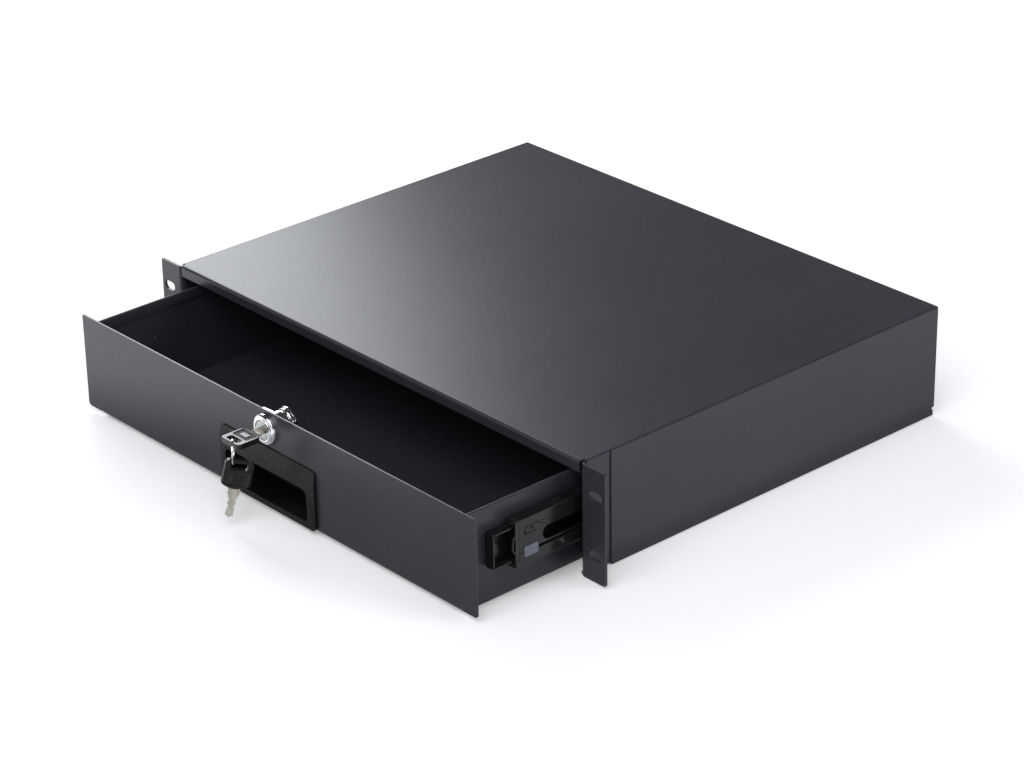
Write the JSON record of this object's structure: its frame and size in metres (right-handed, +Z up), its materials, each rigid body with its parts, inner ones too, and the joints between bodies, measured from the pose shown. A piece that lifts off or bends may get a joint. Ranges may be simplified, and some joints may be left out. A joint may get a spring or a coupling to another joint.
{
  "type": "sliding rack drawer",
  "caption": "Two-unit 19-inch rack drawer: folded steel case with ears, pull-out tray on ball-bearing telescopic slides, recessed pull handle, cam lock with key and spare on a ring.",
  "frame": {"origin": "middle of the four rack holes, on the rear seating face of the ears", "axes": "+X to the right across the front, +Y back into the rack, +Z up; the drawer slides out along -Y"},
  "size_m": [0.4826, 0.4828, 0.0873],
  "materials": {
    "powder_coat": "fine-textured powder coat",
    "slide_steel": "black coated steel",
    "black_plastic": "moulded, fine leather grain",
    "key_plastic": "moulded, glossy",
    "grey_plastic": "moulded",
    "chrome_plate": "polished",
    "nickel_plate": "satin",
    "zinc_plate": "satin",
    "black_screw": "black oxide",
    "ball_steel": "polished"
  },
  "bodies": {
    "case": {"chassis_base": "powder_coat", "case_cover": "powder_coat", "cover_screws": "black_screw", "slide_outer_left": "slide_steel", "slide_outer_right": "slide_steel", "slide_outer_screws_left": "zinc_plate", "slide_outer_screws_right": "zinc_plate"},
    "drawer": {"drawer_tray": "powder_coat", "handle_cup": "black_plastic", "lock_housing": "chrome_plate", "lock_nut": "zinc_plate", "slide_inner_left": "slide_steel", "slide_inner_right": "slide_steel", "slide_inner_screws_left": "zinc_plate", "slide_inner_screws_right": "zinc_plate"},
    "middle_slide_left": {"slide_middle_left": "slide_steel", "front_stop_left": "black_plastic", "latch_pad_left": "grey_plastic"},
    "outer_cage_body_left": {"outer_cage_left": "zinc_plate", "outer_balls_left": "ball_steel"},
    "inner_cage_body_left": {"inner_cage_left": "zinc_plate", "inner_balls_left": "ball_steel"},
    "middle_slide_right": {"slide_middle_right": "slide_steel", "front_stop_right": "black_plastic", "latch_pad_right": "grey_plastic"},
    "outer_cage_body_right": {"outer_cage_right": "zinc_plate", "outer_balls_right": "ball_steel"},
    "inner_cage_body_right": {"inner_cage_right": "zinc_plate", "inner_balls_right": "ball_steel"},
    "lock_core": {"lock_plug": "chrome_plate", "lock_cam": "chrome_plate", "cam_nut": "chrome_plate"},
    "key": {"key_blade": "nickel_plate", "key_head": "key_plastic"},
    "ring": {"key_ring": "nickel_plate"},
    "spare_key": {"spare_key_blade": "nickel_plate", "spare_key_head": "key_plastic"}
  },
  "joints": [
    {"name": "drawer_slide", "type": "slide", "parent": "case", "child": "drawer", "axis": [0, -1, 0], "range_m": [-0.0907, 0.2093]},
    {"name": "middle_slide_left_slide", "type": "slide", "parent": "case", "child": "middle_slide_left", "axis": [0, -1, 0], "range_m": [-0.06057, 0.13963]},
    {"name": "outer_cage_left_slide", "type": "slide", "parent": "case", "child": "outer_cage_body_left", "axis": [0, -1, 0], "range_m": [-0.03033, 0.06987]},
    {"name": "inner_cage_left_slide", "type": "slide", "parent": "case", "child": "inner_cage_body_left", "axis": [0, -1, 0], "range_m": [-0.07568, 0.17452]},
    {"name": "middle_slide_right_slide", "type": "slide", "parent": "case", "child": "middle_slide_right", "axis": [0, -1, 0], "range_m": [-0.06057, 0.13963]},
    {"name": "outer_cage_right_slide", "type": "slide", "parent": "case", "child": "outer_cage_body_right", "axis": [0, -1, 0], "range_m": [-0.03033, 0.06987]},
    {"name": "inner_cage_right_slide", "type": "slide", "parent": "case", "child": "inner_cage_body_right", "axis": [0, -1, 0], "range_m": [-0.07568, 0.17452]},
    {"name": "lock_turn", "type": "hinge", "parent": "drawer", "child": "lock_core", "pos_m": [0, -0.0927, 0.0192], "axis": [0, 1, 0], "range_deg": [0, 90]},
    {"name": "key_pull", "type": "slide", "parent": "lock_core", "child": "key", "axis": [0, -1, 0], "range_m": [0, 0.02]},
    {"name": "ring_swing", "type": "hinge", "parent": "key", "child": "ring", "pos_m": [0.0026, -0.1245, 0.0192], "axis": [1, 0, 0], "range_deg": [-12, 0]},
    {"name": "spare_key_swing", "type": "hinge", "parent": "ring", "child": "spare_key", "pos_m": [0.0026, -0.1245, 0.0048], "axis": [-0.7547, 0.6561, 0], "range_deg": [-12, 12]}
  ],
  "couplings": [
    {"joint": "middle_slide_left_slide", "follows": "drawer_slide", "ratio": 0.66667},
    {"joint": "outer_cage_left_slide", "follows": "drawer_slide", "ratio": 0.33333},
    {"joint": "inner_cage_left_slide", "follows": "drawer_slide", "ratio": 0.83333},
    {"joint": "middle_slide_right_slide", "follows": "drawer_slide", "ratio": 0.66667},
    {"joint": "outer_cage_right_slide", "follows": "drawer_slide", "ratio": 0.33333},
    {"joint": "inner_cage_right_slide", "follows": "drawer_slide", "ratio": 0.83333}
  ]
}
